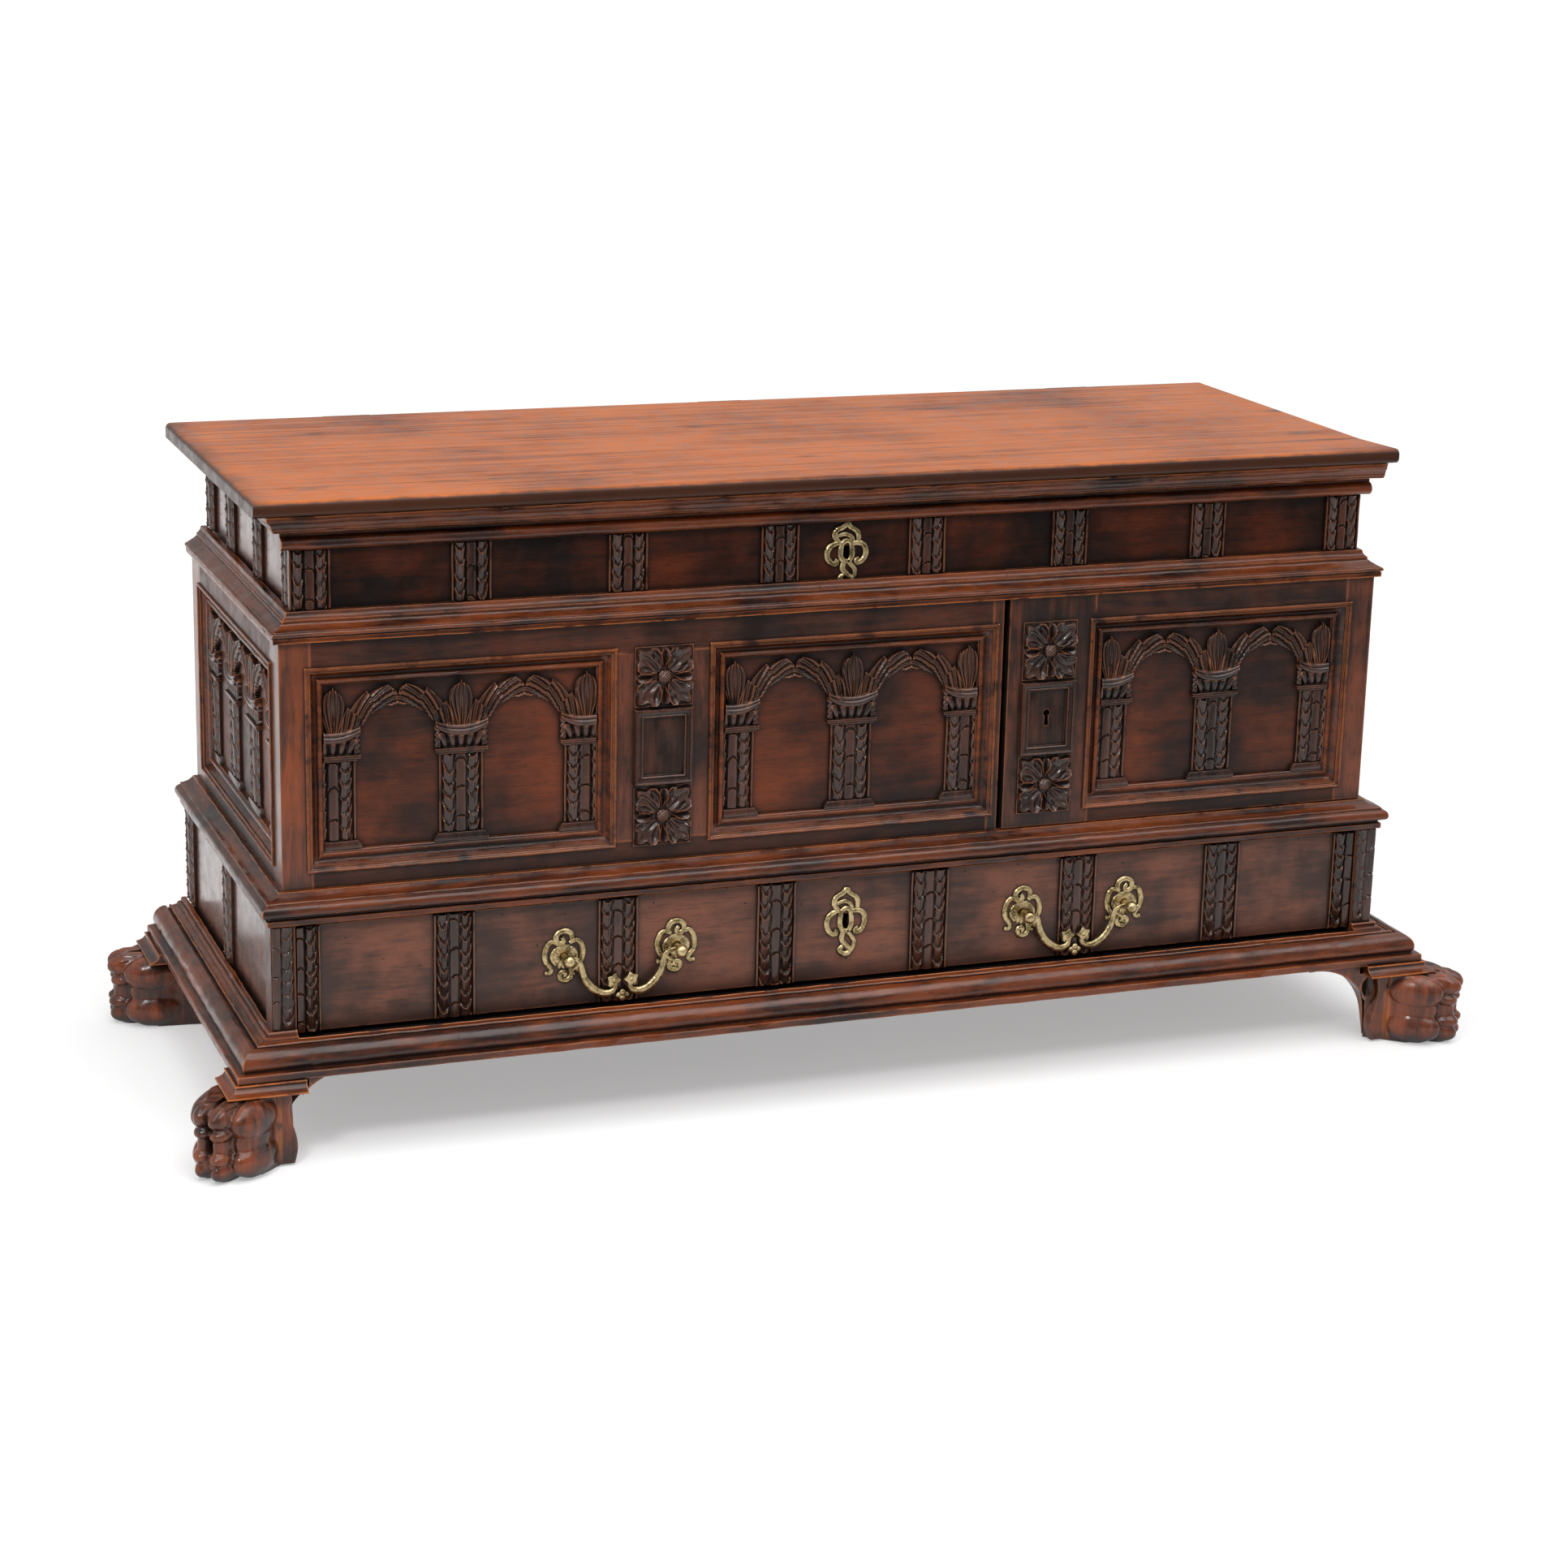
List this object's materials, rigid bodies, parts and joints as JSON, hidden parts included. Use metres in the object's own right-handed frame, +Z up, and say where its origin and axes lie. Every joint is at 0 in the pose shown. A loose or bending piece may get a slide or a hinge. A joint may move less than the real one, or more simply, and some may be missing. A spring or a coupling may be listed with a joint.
{
  "type": "cassone",
  "caption": "Carved walnut chest on paw feet with a hinged lid, an arcaded front with a side door, and a long drawer with hanging brass handles.",
  "frame": {"origin": "on the floor at the centre of the overall footprint", "axes": "+X along the front towards its right-hand end, the front faces -Y, +Z up"},
  "size_m": [1.6838, 0.635, 0.766],
  "materials": {
    "walnut": "waxed walnut with worn, lighter edges",
    "dark_walnut": "dark waxed walnut",
    "lid_walnut": "polished orange-brown walnut",
    "inner_wood": "plain dry softwood",
    "brass": "aged pale brass",
    "iron": "dark forged iron"
  },
  "bodies": {
    "carcase": {"back_boards": "inner_wood", "base_moulding": "walnut", "base_posts": "dark_walnut", "base_side_boards": "walnut", "base_side_pilasters": "dark_walnut", "body_rails": "walnut", "chest_floor": "inner_wood", "corner_posts": "walnut", "door_hinge_leaves_fixed": "iron", "door_jamb": "walnut", "drawer_runners": "inner_wood", "fixed_panels": "dark_walnut", "foot_brackets": "walnut", "foot_caps": "walnut", "frieze_bead": "walnut", "frieze_front_board": "dark_walnut", "frieze_pilasters": "dark_walnut", "frieze_scutcheon": "brass", "frieze_side_boards": "dark_walnut", "front_arcades": "dark_walnut", "front_muntin": "walnut", "front_panel_mouldings": "walnut", "front_paws": "walnut", "lid_hinge_leaves_fixed": "iron", "lid_lock_case": "iron", "muntin_plaques": "dark_walnut", "partition": "inner_wood", "plinth_board": "inner_wood", "plinth_moulding": "walnut", "rear_paws": "walnut", "side_arcades": "dark_walnut", "side_panel_mouldings": "walnut", "waist_moulding": "walnut"},
    "lid": {"lid_battens": "inner_wood", "lid_cornice": "walnut", "lid_front_board": "lid_walnut", "lid_rear_boards": "lid_walnut", "lid_hinge_leaves_moving": "iron", "lid_staple": "iron"},
    "door": {"door_arcade": "dark_walnut", "door_hinge_leaves_moving": "iron", "door_lock_case": "iron", "door_panel": "dark_walnut", "door_panel_moulding": "walnut", "door_plaques": "dark_walnut", "door_rails": "walnut", "door_stiles": "walnut"},
    "drawer": {"drawer_bottom": "inner_wood", "drawer_box_sides": "inner_wood", "drawer_front": "walnut", "drawer_lock_case": "iron", "drawer_pilasters": "dark_walnut", "drawer_scutcheon": "brass", "handle_backplates": "brass", "handle_posts": "brass"},
    "left_bail": {"left_bail": "brass"},
    "right_bail": {"right_bail": "brass"},
    "lid_bolt": {"lid_bolt": "iron"},
    "door_bolt": {"door_bolt": "iron"},
    "drawer_bolt": {"drawer_bolt": "iron"}
  },
  "joints": [
    {"name": "lid_hinge", "type": "hinge", "parent": "carcase", "child": "lid", "pos_m": [0, 0.3165, 0.748], "axis": [-1, 0, 0], "range_deg": [0, 100]},
    {"name": "door_hinge", "type": "hinge", "parent": "carcase", "child": "door", "pos_m": [0.7045, -0.169, 0.45], "axis": [0, 0, 1], "range_deg": [0, 150]},
    {"name": "drawer_slide", "type": "slide", "parent": "carcase", "child": "drawer", "axis": [0, -1, 0], "range_m": [0, 0.35]},
    {"name": "left_bail_swing", "type": "hinge", "parent": "drawer", "child": "left_bail", "pos_m": [-0.297, -0.218, 0.203], "axis": [-1, 0, 0], "range_deg": [0, 95]},
    {"name": "right_bail_swing", "type": "hinge", "parent": "drawer", "child": "right_bail", "pos_m": [0.297, -0.218, 0.203], "axis": [-1, 0, 0], "range_deg": [0, 95]},
    {"name": "lid_bolt_slide", "type": "slide", "parent": "carcase", "child": "lid_bolt", "axis": [1, 0, 0], "range_m": [0, 0.012]},
    {"name": "door_bolt_slide", "type": "slide", "parent": "door", "child": "door_bolt", "axis": [-1, 0, 0], "range_m": [0, 0.012]},
    {"name": "drawer_bolt_slide", "type": "slide", "parent": "drawer", "child": "drawer_bolt", "axis": [0, 0, 1], "range_m": [0, 0.012]}
  ]
}
